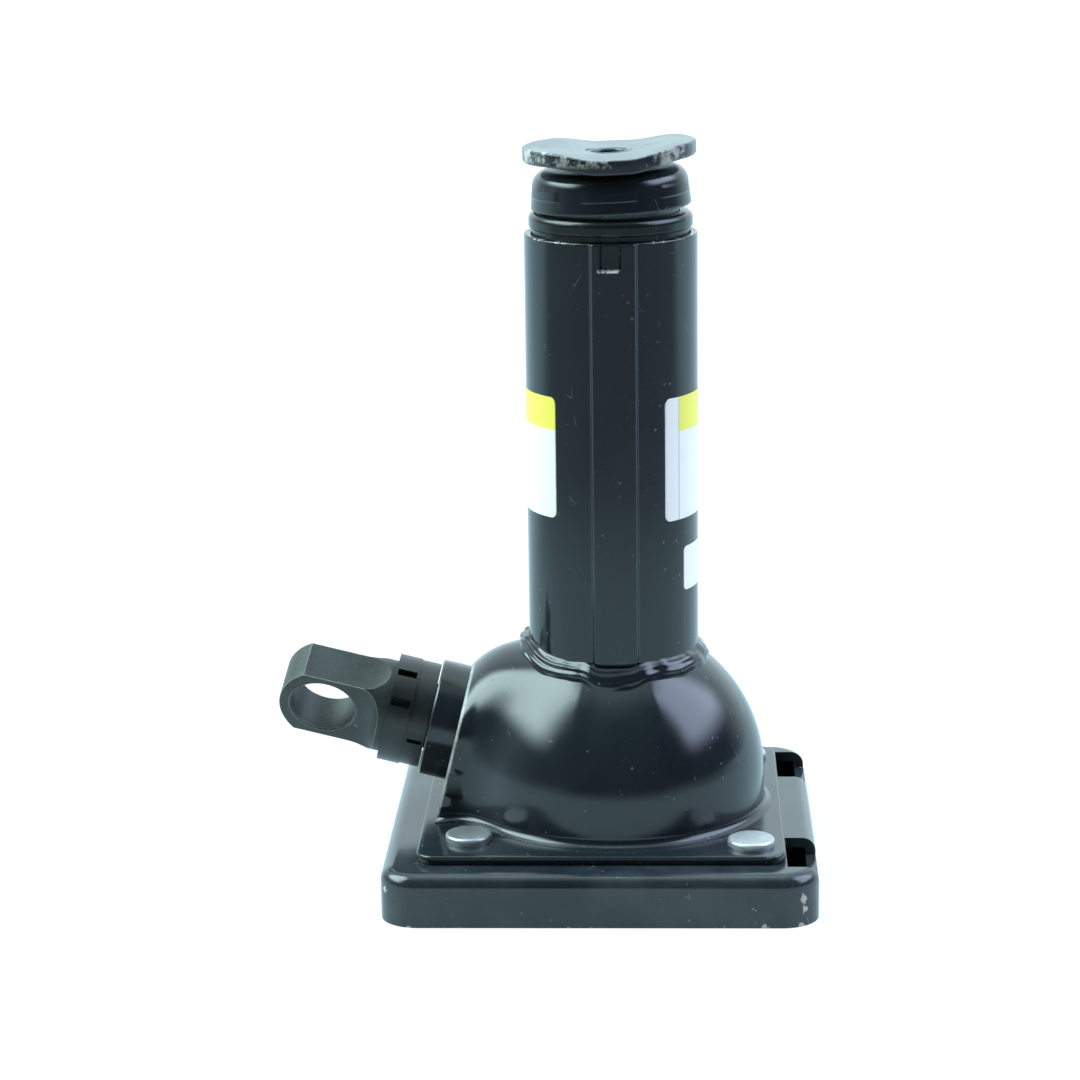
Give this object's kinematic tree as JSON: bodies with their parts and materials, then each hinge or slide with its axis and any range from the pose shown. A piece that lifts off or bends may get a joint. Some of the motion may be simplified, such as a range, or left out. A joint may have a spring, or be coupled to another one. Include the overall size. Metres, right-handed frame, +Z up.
{
  "type": "mechanical bottle jack",
  "caption": "Telescoping screw jack on a pressed square base: a side crank eye drives a bevel pair that turns nested screws and lifts a saddle out of a ribbed tube.",
  "frame": {"origin": "point on the floor on the axis of the lifting column", "axes": "+Z up along the lift, -X towards the drive eye, -Y towards the key rib of the outer tube"},
  "size_m": [0.161, 0.127, 0.2189],
  "materials": {
    "paint_base": "glossy black paint, dusty and chipped at the corners",
    "paint_housing": "glossy black paint",
    "paint_tube": "glossy black paint, torn at the notch",
    "weld_metal": "glossy black paint over a ropy weld",
    "rivet_zinc": "bright zinc plate",
    "eye_steel": "dark phosphated steel with bright edges",
    "collar_plastic": "satin black moulded plastic",
    "sleeve_steel": "dark oiled steel",
    "bearing_steel": "ground and greased",
    "cage_brass": "pressed, greased",
    "gear_steel": "machined, greased",
    "screw_steel": "turned, greased",
    "guide_steel": "zinc plate gone dull",
    "lift_steel": "zinc plate",
    "cap_paint": "glossy black moulding",
    "saddle_paint": "black paint worn to bare metal at the rim"
  },
  "bodies": {
    "base": {"base_plate": "paint_base", "gear_housing": "paint_housing", "base_rivets": "rivet_zinc", "outer_tube": "paint_tube", "tube_weld": "weld_metal", "bearing_sleeve": "sleeve_steel", "pinion_washer": "bearing_steel", "lower_washer": "bearing_steel", "thrust_balls": "bearing_steel", "ball_cage": "cage_brass", "pilot_bush": "cage_brass"},
    "drive_shaft": {"drive_eye": "eye_steel", "bevel_pinion": "gear_steel", "pinion_clip": "gear_steel", "clip_collar": "collar_plastic"},
    "screw_drive": {"bevel_gear": "gear_steel", "drive_screw": "screw_steel", "gear_pin": "gear_steel", "upper_washer": "bearing_steel", "screw_stop": "screw_steel"},
    "guide": {"guide_tube": "guide_steel", "guide_key": "guide_steel"},
    "lift_screw_body": {"lift_screw": "screw_steel", "screw_circlip": "screw_steel"},
    "lift": {"lift_tube": "lift_steel", "lift_nut": "cage_brass", "head_plug": "lift_steel", "dust_cap": "cap_paint", "saddle_rivet": "lift_steel"},
    "saddle_body": {"saddle": "saddle_paint"}
  },
  "joints": [
    {"name": "gear_turn", "type": "hinge", "parent": "base", "child": "screw_drive", "pos_m": [0, 0, 0.0305], "axis": [0, 0, -1], "range_deg": [0, 13680]},
    {"name": "pinion_turn", "type": "hinge", "parent": "base", "child": "drive_shaft", "pos_m": [0, 0, 0.0305], "axis": [0.9703, 0, -0.2419], "range_deg": [0, 34200]},
    {"name": "guide_slide", "type": "slide", "parent": "base", "child": "guide", "axis": [0, 0, 1], "range_m": [0, 0.095]},
    {"name": "lift_screw_turn", "type": "hinge", "parent": "guide", "child": "lift_screw_body", "pos_m": [0, 0, 0.067], "axis": [0, 0, -1], "range_deg": [0, 6840]},
    {"name": "lift_slide", "type": "slide", "parent": "guide", "child": "lift", "axis": [0, 0, 1], "range_m": [0, 0.095]},
    {"name": "saddle_swivel", "type": "hinge", "parent": "lift", "child": "saddle_body", "pos_m": [0, 0, 0.205], "axis": [-0.0384, 0, 0.9993], "continuous": true}
  ],
  "couplings": [
    {"joint": "pinion_turn", "follows": "gear_turn", "ratio": 2.5},
    {"joint": "guide_slide", "follows": "gear_turn", "m_per_rad": 0.00039788},
    {"joint": "lift_slide", "follows": "gear_turn", "m_per_rad": 0.00039788},
    {"joint": "lift_screw_turn", "follows": "gear_turn", "ratio": 0.5}
  ]
}
